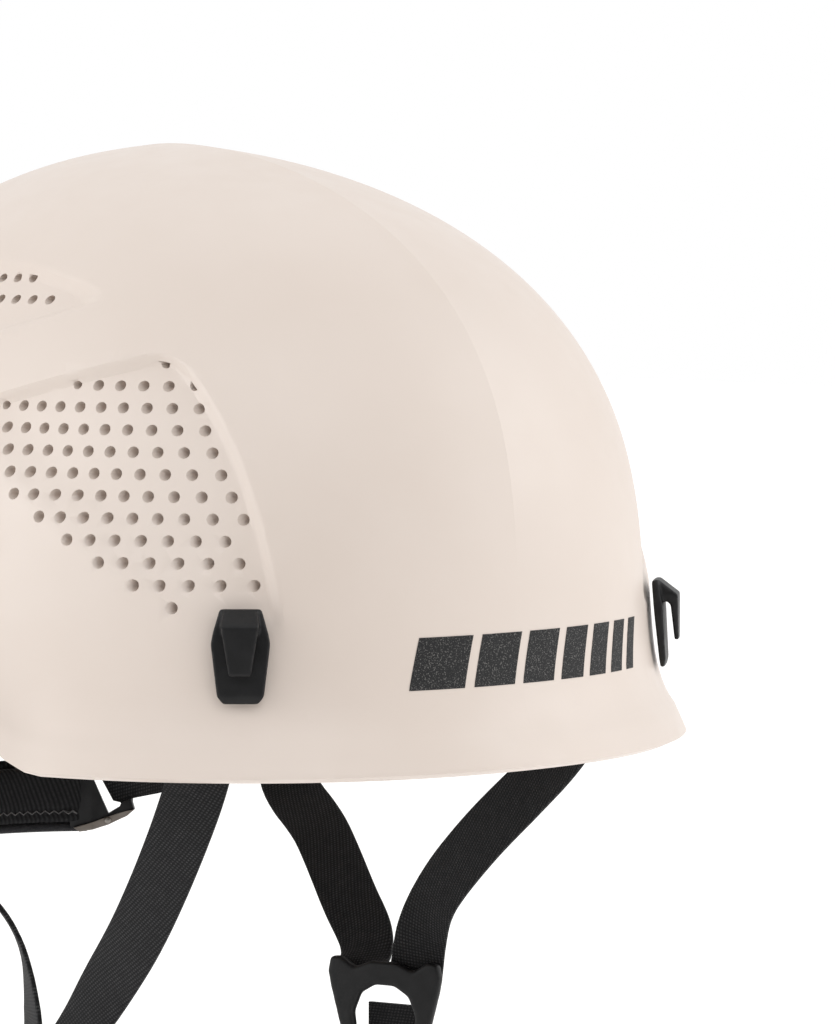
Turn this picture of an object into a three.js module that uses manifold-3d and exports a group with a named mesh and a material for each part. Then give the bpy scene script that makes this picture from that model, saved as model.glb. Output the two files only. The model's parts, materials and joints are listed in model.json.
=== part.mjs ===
// Climbing helmet: a moulded hard shell on a webbing cradle, with a chin strap and a side-release buckle.
// Millimetres. +Z up, -Y towards the front, -X towards the wearer's right.
// The origin is the centre of the plane that the shell's lower edge lies in.
import * as THREE from 'three';
import Module from 'manifold-3d';
import { mergeVertices } from 'three/addons/utils/BufferGeometryUtils.js';

const wasm = await Module();
wasm.setup();

// Driving dimensions of the shell
const frontLength = 138.3;
const rearLength = 140.2;
const halfWidth = 110.6;
const planPower = 2.19;
const shellHeight = 152;
const domeBase = 8.3;
const wall = 3;
const recessDepth = 1.8;
const recessSide = 65.5;
const lipHeight = 6.5;
const flareFade = 11.5;
const earArch = 20;
const napeArch = 6;
const gap = 0.35;

// Driving dimensions of the webbing and the cradle
const webWidth = 16;
const webThick = 1.5;
const bandHeight = 24;
const bandThick = 2;
const headLength = 103;
const headWidth = 82;
const crownZ = 116;
const crownPadRadius = 21;
const crownPadThick = 5;

const group = new THREE.Group();

// Materials

function plastic(colour, roughness) {
  return new THREE.MeshStandardMaterial({ color: colour, roughness, metalness: 0 });
}

const shellPlastic = plastic(0xecdfd6, 0.42);
const blackPlastic = plastic(0x242425, 0.45);
const webbing = plastic(0x232325, 0.85);
const padding = plastic(0x2c2c2e, 0.95);
const steel = new THREE.MeshStandardMaterial({ color: 0x8d8984, roughness: 0.35, metalness: 1 });

function addMesh(name, geometry, material) {
  const mesh = new THREE.Mesh(geometry, material);
  mesh.name = name;
  group.add(mesh);
  return mesh;
}

// Solids: three.js geometry in, three.js geometry out

function toSolid(geometry) {
  const bare = geometry.clone();
  bare.deleteAttribute('normal');
  bare.deleteAttribute('uv');
  const merged = mergeVertices(bare, 1e-4);
  const vertProperties = new Float32Array(merged.attributes.position.array);
  const triVerts = new Uint32Array(merged.index.array);
  return new wasm.Manifold(new wasm.Mesh({ numProp: 3, vertProperties, triVerts }));
}

function toGeometry(solid) {
  const mesh = solid.getMesh();
  const geometry = new THREE.BufferGeometry();
  geometry.setAttribute('position', new THREE.BufferAttribute(new Float32Array(mesh.vertProperties), 3));
  geometry.setIndex(new THREE.BufferAttribute(new Uint32Array(mesh.triVerts), 1));
  geometry.computeVertexNormals();
  return geometry;
}

// A flat outline given depth. right and up span the outline's plane, and it is centred on its depth.
function slab(points, depth, right, up, centre) {
  const shape = new THREE.Shape(points.map(([x, y]) => new THREE.Vector2(x, y)));
  const geometry = new THREE.ExtrudeGeometry(shape, { depth, bevelEnabled: false, curveSegments: 6 });
  geometry.translate(0, 0, -depth / 2);
  const out = new THREE.Vector3().crossVectors(right, up);
  geometry.applyMatrix4(new THREE.Matrix4().makeBasis(right, up, out));
  geometry.translate(centre.x, centre.y, centre.z);
  return geometry;
}

function vector(x, y, z) {
  return new THREE.Vector3(x, y, z);
}

// The shell's outer form

function clamp01(value) {
  return Math.min(Math.max(value, 0), 1);
}

function smooth(from, to, value) {
  const t = clamp01((value - from) / (to - from));
  return t * t * (3 - 2 * t);
}

function planRadius(theta, inset) {
  const length = (Math.cos(theta) > 0 ? frontLength : rearLength) - inset;
  const along = Math.abs(Math.cos(theta)) / length;
  const across = Math.abs(Math.sin(theta)) / (halfWidth - inset);
  return (along ** planPower + across ** planPower) ** (-1 / planPower);
}

// Height of the lower edge: level at the front, raised over the ears, lower again at the nape
function rimHeight(theta) {
  const y = -planRadius(theta, 0) * Math.cos(theta);
  const rise = earArch * smooth(-74, -42, y);
  return rise - (earArch - napeArch) * smooth(40, 84, y);
}

// How far the lower edge turns outwards
function flareAt(theta) {
  return 2.6 + 7 * smooth(-0.05, 0.85, Math.cos(theta));
}

// Radius of the dome at one bearing and height
function domeRadius(theta, z, inset) {
  const front = Math.max(Math.cos(theta), 0) ** 2;
  const rear = Math.max(-Math.cos(theta), 0) ** 2;
  const lean = 2 - 0.26 * front;
  const crown = 2.16 + 1.42 * front - 0.28 * rear;
  const rise = Math.max(z - domeBase, 0) / (shellHeight - domeBase - inset);
  const fill = Math.max(1 - rise ** crown, 0) ** (1 / lean);
  const flare = rise < 0.5 ? flareAt(theta) * Math.exp(-(z - rimHeight(theta)) / flareFade) : 0;
  return planRadius(theta, inset) * fill + flare;
}

function domePoint(theta, z, inset) {
  const radius = domeRadius(theta, z, inset);
  return vector(radius * Math.sin(theta), -radius * Math.cos(theta), z);
}

// Outward normal of the dome
function domeNormal(theta, z, inset, halfSpan = 0.5) {
  const step = 0.01;
  const around = domePoint(theta + step, z, inset).sub(domePoint(theta - step, z, inset));
  const upward = domePoint(theta, z + halfSpan, inset).sub(domePoint(theta, z - halfSpan, inset));
  return around.cross(upward).normalize();
}

// A closed dome: a turned set of rows, each moved onto the shell's form.
// foot is how far the closing face lies below the lower edge's plane, and 0 leaves it level with the edge.
function domeSolid(inset, columns, rows, foot) {
  const last = rows + 4;
  const halfTurn = (_, i) => new THREE.Vector2(Math.sin(Math.PI * i / last), -Math.cos(Math.PI * i / last));
  const profile = Array.from({ length: last + 1 }, halfTurn);
  const geometry = new THREE.LatheGeometry(profile, columns);
  const position = geometry.attributes.position;
  const top = shellHeight - inset;
  for (let i = 0; i < position.count; i += 1) {
    const row = i % (last + 1);
    const theta = 2 * Math.PI * (Math.floor(i / (last + 1)) % columns) / columns;
    const rim = rimHeight(theta);
    let point = domePoint(theta, rim, inset);
    if (row === 0) {
      point.set(0, 0, -foot);
    } else if (row === 1) {
      point.multiplyScalar(foot ? 1 : 0.93).setZ(foot ? -foot : rim);
    } else if (row === 3) {
      point = domePoint(theta, rim + 1.2, inset);
    } else if (row === last) {
      point.set(0, 0, top);
    } else if (row > 3) {
      const turn = (1 - (row - 4) / rows) * Math.PI / 2;
      const drop = (top - rim - lipHeight) * (1 - Math.cos(turn) ** 0.86);
      point = domePoint(theta, top - drop, inset);
    }
    position.setXYZ(i, point.x, point.y, point.z);
  }
  return toSolid(geometry);
}

// One perforated panel on one side, sunk into the dome: its outline in Y and Z, run outwards
function panelCutter(outline, side, dome) {
  const reach = 60;
  const centre = vector(side * (recessSide + reach / 2), 0, 0);
  const block = toSolid(slab(outline, reach, vector(0, 1, 0), vector(0, 0, 1), centre));
  return block.subtract(dome);
}

const panelMiddle = 10;
const upperPanel = [[-66, 113], [10, 91], [86, 113], [90, 150], [-70, 150]];
const frontPanel = [[-86, 101.5], [-27, 84.8], [-56, 67], [-103, 38.5], [-125, 30], [-125, 101.5]];
const rearPanel = frontPanel.map(([y, z]) => [2 * panelMiddle - y, z]).reverse();

function makeShell() {
  const panelFloor = domeSolid(recessDepth, 64, 14, 0);
  let body = domeSolid(0, 64, 14, 0).subtract(domeSolid(wall, 64, 14, 12));
  for (const side of [-1, 1]) {
    for (const outline of [upperPanel, frontPanel, rearPanel]) {
      body = body.subtract(panelCutter(outline, side, panelFloor));
    }
  }
  return toGeometry(body);
}

addMesh('shell', makeShell(), shellPlastic);

// Headlamp clips: a plate against the shell and a hooked finger that hangs over it

const clipBearing = 30.8;
const rearClipBearing = 146;
const clipHeight = 28.5;
const clipReach = 11;
const clipBlock = 30;
const clipPlate = [[1.1, -11.4], [1.1, 11.2], [2.8, 11.4], [3.4, 4.6], [2.8, -9.6], [2.2, -11.4]];
const clipFinger = [
  [2, 11.3], [3, 11.3], [7.5, 7], [6.4, -4.8], [5.3, -4.8], [5.3, 4.4], [4.6, 5.4], [2.6, 5.4],
];
const plateFront = [[-4, -11.6], [-5.6, -9.6], [-7.1, 3], [-6.6, 5.6], [-4.9, 11.6]];
const fingerFront = [[-2.6, -5], [-4.6, 7.4], [-3.9, 12]];

function mirrored(half) {
  return [...half, ...half.map(([x, y]) => [-x, y]).reverse()];
}

function makeClip(side, bearing) {
  const theta = side * bearing * Math.PI / 180;
  const low = domePoint(theta, clipHeight - clipReach, 0);
  const seat = domePoint(theta, clipHeight + clipReach, 0).lerp(low, 0.5);
  const out = domeNormal(theta, clipHeight, 0, clipReach);
  const across = vector(0, 0, 1).cross(out).normalize();
  const up = vector().crossVectors(out, across);
  const plate = toSolid(slab(clipPlate, clipBlock, out, up, seat));
  const finger = toSolid(slab(clipFinger, clipBlock, out, up, seat));
  const plateOutline = toSolid(slab(mirrored(plateFront), clipBlock, across, up, seat));
  const fingerOutline = toSolid(slab(mirrored(fingerFront), clipBlock, across, up, seat));
  return toGeometry(plate.intersect(plateOutline).add(finger.intersect(fingerOutline)));
}

for (const [end, bearing] of [['front', clipBearing], ['rear', rearClipBearing]]) {
  addMesh(`headlamp_clip_${end}_right`, makeClip(-1, bearing), blackPlastic);
  addMesh(`headlamp_clip_${end}_left`, makeClip(1, bearing), blackPlastic);
}

// Bands: a bar of many steps, laid along a curve with its flat side towards a turning normal
function ribbon(stations, width, thick, steps) {
  const points = stations.map(([x, y, z]) => vector(x, y, z));
  const curve = new THREE.CatmullRomCurve3(points, false, 'centripetal');
  const normals = stations.map((station) => vector(station[3], station[4], station[5]).normalize());
  const geometry = new THREE.BoxGeometry(width, thick, 1, 1, 1, steps);
  const position = geometry.attributes.position;
  for (let i = 0; i < position.count; i += 1) {
    const share = clamp01(position.getZ(i) + 0.5);
    const centre = curve.getPoint(share);
    const along = curve.getTangent(share);
    const place = share * (normals.length - 1);
    const first = Math.min(Math.floor(place), normals.length - 2);
    const face = normals[first].clone().lerp(normals[first + 1], place - first);
    const across = vector().crossVectors(face, along).normalize();
    face.crossVectors(along, across).normalize();
    centre.addScaledVector(across, position.getX(i)).addScaledVector(face, position.getY(i));
    position.setXYZ(i, centre.x, centre.y, centre.z);
  }
  return geometry;
}

function flip(stations) {
  return stations.map(([x, y, z, a, b, c]) => [-x, y, z, -a, b, c]);
}

// Anchors: blocks held in the shell's inner wall that the webbing is sewn to

const anchorThick = 4;
const anchorStand = 1.3;
const anchors = { front: [34.5, 22], side: [86, 52], rear: [125.5, 34] };

function insidePoint(bearing, z, side, depth) {
  const theta = side * bearing * Math.PI / 180;
  const normal = domeNormal(theta, z, wall);
  return { seat: domePoint(theta, z, wall).addScaledVector(normal, -depth), normal };
}

for (const [end, [bearing, z]] of Object.entries(anchors)) {
  for (const [name, side] of [['right', -1], ['left', 1]]) {
    const { seat, normal } = insidePoint(bearing, z, side, anchorStand + anchorThick / 2);
    const across = vector(0, 0, 1).cross(normal).normalize();
    const up = vector().crossVectors(normal, across);
    const outline = mirrored([[-8, -10], [-10, -8], [-10, 8], [-8, 10]]);
    addMesh(`anchor_${end}_${name}`, slab(outline, anchorThick, across, up, seat), blackPlastic);
  }
}

// A band's end station on an anchor's inner face, a little above or below its middle
function anchorStation(end, side, rise) {
  const [bearing, z] = anchors[end];
  const depth = anchorStand + anchorThick + gap + webThick / 2;
  const { seat, normal } = insidePoint(bearing, z, side, depth);
  const across = vector(0, 0, 1).cross(normal).normalize();
  seat.addScaledVector(vector().crossVectors(normal, across), rise);
  return [seat.x, seat.y, seat.z, normal.x, normal.y, normal.z];
}

// Crown webbing: two diagonal bands and one from side to side, one under the other where they cross
function crownBand(from, fromSide, to, toSide, z, rise) {
  const start = anchorStation(from, fromSide, rise);
  const end = anchorStation(to, toSide, rise);
  const rib = (station, share, height) => {
    const [x, y] = station;
    const lean = vector(x, y, 0).normalize().multiplyScalar(1 - share).setZ(share + 0.2);
    return [x * (1 - share ** 1.6 * 0.98), y * (1 - share ** 1.6 * 0.98), height, lean.x, lean.y, lean.z];
  };
  const level = (station, share) => station[2] + (z - station[2]) * Math.sin(share * Math.PI / 2);
  const climb = (station) => [0.45, 0.75].map((share) => rib(station, share, level(station, share)));
  return [start, ...climb(start), [0, 0, z, 0, 0, 1], ...climb(end).reverse(), end];
}

const crownStep = webThick + 2 * gap;
const crownRise = 6;
const bandSteps = 20;
const crownBands = {
  crown_strap_diagonal_a: crownBand('front', -1, 'rear', 1, crownZ, crownRise),
  crown_strap_diagonal_b: crownBand('front', 1, 'rear', -1, crownZ - crownStep, crownRise),
  crown_strap_side: crownBand('side', -1, 'side', 1, crownZ - 2 * crownStep, 0),
};
for (const [name, stations] of Object.entries(crownBands)) {
  addMesh(name, ribbon(stations, webWidth, webThick, bandSteps), webbing);
}

const crownPad = new THREE.CylinderGeometry(crownPadRadius, crownPadRadius, crownPadThick, 20);
crownPad.rotateX(Math.PI / 2);
crownPad.translate(0, 0, crownZ - 3 * crownStep - crownPadThick / 2 - 0.5);
addMesh('crown_pad', crownPad, padding);

// Headband, its pad and its hangers

const bandMiddle = 14;
const bandEnd = 104;

function headStation(bearing, z, inset) {
  const theta = bearing * Math.PI / 180;
  const [along, across] = [headLength - inset, headWidth - inset];
  const radius = 1 / Math.hypot(Math.cos(theta) / along, Math.sin(theta) / across);
  const x = radius * Math.sin(theta);
  const y = -radius * Math.cos(theta);
  const normal = vector(x / across ** 2, y / along ** 2, 0).normalize();
  return [x, y, z, normal.x, normal.y, 0];
}

function headArc(from, to, z, inset, count) {
  return Array.from({ length: count + 1 }, (_, i) => headStation(from + (to - from) * i / count, z, inset));
}

const browEnd = 52;
const browThick = 6;
const browInset = (bandThick + browThick) / 2 + 0.6;
const bandArc = headArc(-bandEnd, bandEnd, bandMiddle, 0, 12);
addMesh('headband', ribbon(bandArc, bandHeight, bandThick, 26), blackPlastic);
const browArc = headArc(-browEnd, browEnd, bandMiddle, browInset, 8);
addMesh('brow_pad', ribbon(browArc, bandHeight - 2, browThick, 14), padding);

for (const [end, bearing] of [['front', 17], ['side', 78]]) {
  for (const [name, side] of [['right', -1], ['left', 1]]) {
    const outer = insidePoint(bearing, 30, side, 1.2);
    const inner = headStation(side * bearing, 18, -bandThick / 2 - gap - 0.4);
    const middle = outer.seat.clone().lerp(vector(inner[0], inner[1], 24), 0.5);
    const stations = [
      [outer.seat.x, outer.seat.y, 30, 0, 0, 1],
      [middle.x, middle.y, 25.5, 0, 0, 1],
      [inner[0], inner[1], 20, 0, 0, 1],
    ];
    addMesh(`headband_hanger_${end}_${name}`, ribbon(stations, 12, 1.6, 4), blackPlastic);
  }
}

// Nape support: arms that turn on studs at the headband's ends, buckles, and a padded band between them

const napeLength = 106;
const napeWidth = 80;
const napeZ = -33.5;
const napeHeight = 20;
const studY = 15;
const studZ = 8;
const armX = headWidth + bandThick / 2 + gap + webThick / 2 + 0.2;

function napeStation(x, z, inset) {
  const [along, across] = [napeLength - inset, napeWidth - inset];
  const y = along * Math.sqrt(1 - (x / across) ** 2);
  const normal = vector(x / across ** 2, y / along ** 2, 0).normalize();
  return [x, y, z, normal.x, normal.y, 0];
}

function makeStud(side) {
  const pin = new THREE.CylinderGeometry(1.9, 1.9, 3.4, 14);
  pin.translate(0, 1.7, 0);
  const head = new THREE.CylinderGeometry(4.2, 4.8, 1.4, 14);
  head.translate(0, 3.4, 0);
  const stud = toSolid(pin).add(toSolid(head));
  const geometry = toGeometry(stud);
  geometry.rotateZ(-side * Math.PI / 2);
  geometry.translate(side * (headWidth + bandThick / 2 + gap), studY, studZ);
  return geometry;
}

function makeArm(side) {
  const stations = [
    [armX, studY - 9, studZ, 1, 0, 0],
    [armX, studY, studZ, 1, 0, 0],
    [armX - 0.6, studY + 12, studZ - 3, 1, 0.1, 0],
    [72.5, 50, -12, 0.9, 0.42, 0],
    [62, 70, -25, 0.76, 0.64, 0],
    napeStation(58.2, -30.5, 0),
  ];
  const placed = side > 0 ? stations : flip(stations);
  const arm = toSolid(ribbon(placed, 18, webThick, 12));
  const hole = new THREE.CylinderGeometry(2.4, 2.4, 12, 14);
  hole.rotateZ(Math.PI / 2);
  hole.translate(side * armX, studY, studZ);
  return toGeometry(arm.subtract(toSolid(hole)));
}

function makeNapeBuckle(side) {
  const [x, y, z, nx, ny] = napeStation(side * 49.5, napeZ + 1, 0);
  const out = vector(nx, ny, 0);
  const across = vector(0, 0, 1).cross(out).normalize();
  const up = vector(0, 0, 1);
  const frameOutline = mirrored([[-5.2, -12], [-6.4, -10.6], [-6.4, 10.6], [-5.2, 12]]);
  const frame = toSolid(slab(frameOutline, 3.2, across, up, vector(x, y, z)));
  const slot = mirrored([[-1.3, -9.6], [-1.3, 9.6]]);
  const slots = [-3.1, 2.9].map((shift) => {
    const middle = vector(x, y, z).addScaledVector(across, shift);
    return toSolid(slab(slot, 8, across, up, middle));
  });
  return toGeometry(frame.subtract(slots[0]).subtract(slots[1]));
}

for (const [name, side] of [['right', -1], ['left', 1]]) {
  addMesh(`nape_stud_${name}`, makeStud(side), blackPlastic);
  addMesh(`nape_arm_${name}`, makeArm(side), webbing);
  addMesh(`nape_buckle_${name}`, makeNapeBuckle(side), blackPlastic);
  const [x, y, , nx, ny] = napeStation(side * 49.5, napeZ, 0);
  const rivet = new THREE.CylinderGeometry(1.5, 1.8, 1.2, 12);
  rivet.rotateZ(-Math.PI / 2);
  rivet.rotateZ(Math.atan2(ny, nx));
  rivet.translate(x + nx * 2.6, y + ny * 2.6, napeZ - 9.9);
  addMesh(`nape_rivet_${name}`, rivet, steel);
}

const napeXs = [-42, -32, -20, -8, 8, 20, 32, 42];
addMesh('nape_band', ribbon(napeXs.map((x) => napeStation(x, napeZ, 0)), napeHeight, 2.4, 16), webbing);
addMesh('nape_pad', ribbon(napeXs.map((x) => napeStation(x * 0.88, napeZ, 4.4)), 17, 5, 14), padding);

// Strap dividers: flat plates under the ears that gather the front and the rear strap

const dividerX = 57;
const dividerY = -22;
const dividerZ = { left: -83, right: -100 };
const dividerTurn = 0.37;
const dividerThick = 2.8;

function dividerFrame(side) {
  const out = vector(side * 0.93, dividerTurn, 0).normalize();
  const across = vector(0, 0, 1).cross(out).normalize();
  return { out, across, up: vector(0, 0, 1) };
}

const dividerFoot = [[-9.5, -19], [-11, -16], [-16.6, 5]];
const dividerEar = [[-17.4, 9], [-16.6, 13], [-13.4, 13.4], [-9, 10.6], [-4, 12.6]];
const dividerArch = [[-8, -13], [-9.6, -2], [-7.4, 3.4], [-3, 6]];

function makeDivider(side, z) {
  const { across, up } = dividerFrame(side);
  const centre = vector(side * dividerX, dividerY, z);
  const outline = mirrored([...dividerFoot, ...dividerEar]);
  const plate = toSolid(slab(outline, dividerThick, across, up, centre));
  const opening = toSolid(slab(mirrored(dividerArch), 3 * dividerThick, across, up, centre));
  return toGeometry(plate.subtract(opening));
}

// A station beside a divider: shift along its width, height above its middle, distance outwards
function dividerStation(side, z, shift, rise, depth) {
  const { out, across } = dividerFrame(side);
  const point = vector(side * dividerX, dividerY, z + rise);
  point.addScaledVector(across, side * shift).addScaledVector(out, depth);
  return [point.x, point.y, point.z, out.x, out.y, 0];
}

const strapStand = dividerThick / 2 + gap + webThick / 2;

addMesh('strap_divider_right', makeDivider(-1, dividerZ.right), blackPlastic);
addMesh('strap_divider_left', makeDivider(1, dividerZ.left), blackPlastic);

// Front and rear straps, from the anchors to the dividers

const frontRight = [
  anchorStation('front', -1, -9.5),
  [-67, -97, -1, -0.86, -0.5, -0.1],
  [-64.5, -84.5, -20, -0.93, -0.33, -0.2],
  [-62, -66, -44, -0.95, -0.25, -0.15],
  [-60.5, -50, -61, -0.95, -0.1, -0.1],
  [-62, -41.5, -72, -0.95, 0.1, 0],
  [-65, -34.5, -82, -0.93, 0.3, 0],
  dividerStation(-1, dividerZ.right, -8.2, 9.4, strapStand),
];
const frontLeft = [
  anchorStation('front', 1, -9.5),
  [67.5, -89, -4, 0.86, -0.5, -0.1],
  [65.5, -69, -20, 0.95, -0.2, 0.1],
  [64, -51, -35.5, 0.95, -0.1, 0.1],
  [63.5, -36, -51, 0.95, 0, 0.05],
  [63.5, -30, -62, 0.94, 0.3, 0],
  dividerStation(1, dividerZ.left, -8.2, 9.4, strapStand),
];
const rearLeft = [
  anchorStation('rear', 1, -9.5),
  [89, 61, 2, 0.88, 0.46, -0.2],
  [83, 52.5, -27, 0.7, 0.4, -0.6],
  [75, 27, -41, 0.6, 0.37, -0.72],
  [66, 4, -56.5, 0.62, 0.37, -0.68],
  [61.5, -9, -67, 0.8, 0.37, -0.3],
  dividerStation(1, dividerZ.left, 8.2, 9.4, strapStand),
];
const rearRight = [
  anchorStation('rear', -1, -9.5),
  [-89, 61, 2, -0.88, 0.46, -0.2],
  [-84.8, 48, -15, -0.7, 0.4, -0.6],
  [-74.6, 27, -28, -0.6, 0.37, -0.72],
  [-63, 6, -38, -0.6, 0.37, -0.72],
  [-58, -9, -52, -0.7, 0.37, -0.5],
  [-58, -16, -72, -0.9, 0.37, -0.15],
  dividerStation(-1, dividerZ.right, 8.2, 9.4, strapStand),
];
const sideStraps = {
  front_strap_right: frontRight,
  front_strap_left: frontLeft,
  rear_strap_right: rearRight,
  rear_strap_left: rearLeft,
};
for (const [name, stations] of Object.entries(sideStraps)) {
  addMesh(name, ribbon(stations, webWidth, webThick, bandSteps), webbing);
}

// Chin strap. The left leg runs straight through the buckle's male half, which slides along it.

const legSlope = vector(0.6, 0, 0.8);
const legFace = vector(0.8, 0, -0.6);
const legTop = vector(55.5, dividerY, -116);
const legStraight = 56;
const barPoint = legTop.clone().addScaledVector(legSlope, -legStraight);
const femaleEnd = 37;

function legStation(distance, depth) {
  const point = barPoint.clone().addScaledVector(legSlope, distance).addScaledVector(legFace, depth);
  return [point.x, point.y, point.z, legFace.x, legFace.y, legFace.z];
}

const lowerStand = strapStand + 3.2;
const strapLeft = [
  dividerStation(1, dividerZ.left, 0, 0, lowerStand),
  dividerStation(1, dividerZ.left, 0, -16, lowerStand),
  legStation(legStraight + 8, 1),
  legStation(legStraight, 0),
  legStation(legStraight / 2, 0),
  legStation(-1, 0),
];
const strapRight = [
  dividerStation(-1, dividerZ.right, 0, 0, lowerStand),
  dividerStation(-1, dividerZ.right, 0, -16, lowerStand),
  [-56, dividerY, -142, -0.97, 0, -0.24],
  [-50, dividerY, -168, -0.95, 0, -0.31],
  [-41, dividerY, -190, -0.85, 0, -0.5],
  [-28, dividerY, -202, -0.3, 0, -0.95],
  [-13, dividerY, -201, 0.4, 0, -0.92],
  legStation(-femaleEnd - gap, 0),
];
addMesh('lower_strap_left', ribbon(strapLeft, webWidth, webThick, 18), webbing);
addMesh('lower_strap_right', ribbon(strapRight, webWidth, webThick, 24), webbing);

// Buckle pieces: outlines in width and distance down the leg, given depth across the leg's face

function buckleSlab(outline, depth, shift = 0) {
  const centre = barPoint.clone().addScaledVector(legFace, shift);
  return toSolid(slab(outline, depth, vector(0, 1, 0), legSlope.clone().negate(), centre));
}

function rectangle(left, low, right, high) {
  return [[left, low], [right, low], [right, high], [left, high]];
}

// The left leg's spare end lies back along it, inside an elastic keeper
const tailEnd = 36;
const tailDepth = 2.8;
const tailFold = 4.2;
const tailRoute = [[-1, tailFold], [6.4, tailFold], [12, tailDepth], [tailEnd, tailDepth]];
const tail = tailRoute.map(([distance, depth]) => legStation(distance, depth));
addMesh('strap_tail', ribbon(tail, webWidth, webThick, 6), webbing);

// Male half: a frame with one channel for the strap and one for its spare end, a tongue, and two prongs
const prongInner = 9.9;
const maleOutline = [[-10.8, -5], [-12.2, -3], [-12.2, 6], [-11.6, 8]];
const maleBase = buckleSlab(mirrored(maleOutline), 6);
const maleTongue = buckleSlab(mirrored([[-2, 7], [-2, 19], [-1.2, 20]]), 1, -1.8);
const maleLoop = buckleSlab(rectangle(-12.2, -3.5, 12.2, 1.5), 9.4, 2.3);
const channel = rectangle(-8.7, -8, 8.7, 12);
const strapChannel = buckleSlab(channel, 2.6);
const tailChannel = buckleSlab(channel, 2.6, tailFold);
const male = maleBase.add(maleTongue).add(maleLoop).subtract(strapChannel).subtract(tailChannel);
addMesh('chin_buckle_male', toGeometry(male), blackPlastic);

const prongRoot = [[prongInner, 8.4], [11.6, 8.4], [12, 12]];
const prongTip = [[13.8, 14], [13.8, 20], [11.4, 24], [prongInner + 0.2, 24], [prongInner + 0.3, 14]];
const prongOutline = [...prongRoot, ...prongTip];
const prongThick = 3.6;
for (const [name, side] of [['front', -1], ['rear', 1]]) {
  const points = prongOutline.map(([x, y]) => [x * side, y]);
  const prong = buckleSlab(side > 0 ? points : points.reverse(), prongThick);
  addMesh(`buckle_prong_${name}`, toGeometry(prong), blackPlastic);
}

// Female half: a housing that is open to the male half and at both sides, with a bar for its strap
const femaleOutline = [[-12, 8.6], [-13.4, 12], [-13.4, 30], [-11.8, femaleEnd], [-6, femaleEnd]];
const femaleBody = buckleSlab(mirrored(femaleOutline), 9);
const femaleCavity = buckleSlab(rectangle(-16, 6, 16, 25), 5.4);
const femaleSlot = buckleSlab(rectangle(-8.6, 30.4, 8.6, 33), 14);
const female = femaleBody.subtract(femaleCavity).subtract(femaleSlot);
addMesh('chin_buckle_female', toGeometry(female), blackPlastic);

// Elastic keeper round the strap and its spare end
const keeperPlace = -20;
const keeperOutline = rectangle(-10.2, keeperPlace - 3, 10.2, keeperPlace + 3);
const keeperHole = rectangle(-8.9, keeperPlace - 9, 8.9, keeperPlace + 9);
const keeperBody = buckleSlab(keeperOutline, 7.6, tailDepth / 2);
const keeper = keeperBody.subtract(buckleSlab(keeperHole, 5.2, tailDepth / 2));
addMesh('strap_keeper', toGeometry(keeper), webbing);

export default group;
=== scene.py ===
import json
import math

import bmesh
import bpy
from mathutils import Matrix, Vector

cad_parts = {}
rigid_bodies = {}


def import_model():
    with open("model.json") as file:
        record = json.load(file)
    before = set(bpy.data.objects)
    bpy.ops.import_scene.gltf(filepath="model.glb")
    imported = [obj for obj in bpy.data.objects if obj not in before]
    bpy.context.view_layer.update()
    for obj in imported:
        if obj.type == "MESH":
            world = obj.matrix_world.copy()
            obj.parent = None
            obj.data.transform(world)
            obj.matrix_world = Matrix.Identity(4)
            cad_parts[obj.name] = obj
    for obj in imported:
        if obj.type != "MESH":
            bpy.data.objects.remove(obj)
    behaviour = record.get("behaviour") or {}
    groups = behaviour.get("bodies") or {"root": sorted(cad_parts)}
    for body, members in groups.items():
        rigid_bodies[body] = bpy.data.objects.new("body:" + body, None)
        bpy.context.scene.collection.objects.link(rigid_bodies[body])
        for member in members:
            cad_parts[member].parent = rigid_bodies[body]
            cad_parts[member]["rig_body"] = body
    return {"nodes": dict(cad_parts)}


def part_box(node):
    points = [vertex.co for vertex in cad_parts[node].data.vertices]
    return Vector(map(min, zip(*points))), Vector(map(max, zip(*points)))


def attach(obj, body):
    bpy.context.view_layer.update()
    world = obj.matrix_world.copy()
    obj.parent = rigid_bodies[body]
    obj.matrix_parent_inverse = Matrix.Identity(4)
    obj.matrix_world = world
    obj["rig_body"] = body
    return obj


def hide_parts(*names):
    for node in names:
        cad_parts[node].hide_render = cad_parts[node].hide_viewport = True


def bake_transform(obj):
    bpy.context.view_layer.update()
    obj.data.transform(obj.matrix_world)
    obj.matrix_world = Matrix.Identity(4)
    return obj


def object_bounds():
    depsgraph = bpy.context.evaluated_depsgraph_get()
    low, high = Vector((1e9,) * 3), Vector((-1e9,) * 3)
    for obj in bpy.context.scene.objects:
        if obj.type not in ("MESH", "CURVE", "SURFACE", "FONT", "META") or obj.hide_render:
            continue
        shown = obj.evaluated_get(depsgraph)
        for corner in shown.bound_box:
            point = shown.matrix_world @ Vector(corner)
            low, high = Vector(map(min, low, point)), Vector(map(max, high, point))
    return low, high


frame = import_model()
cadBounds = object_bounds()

# Climbing helmet. All mesh work is in millimetres, and addPiece turns it to metres.
# +Z up, -Y to the front, -X to the wearer's right.
mm = 0.001
nodes = frame["nodes"]
print("frame loaded:", len(nodes), "nodes")


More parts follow.
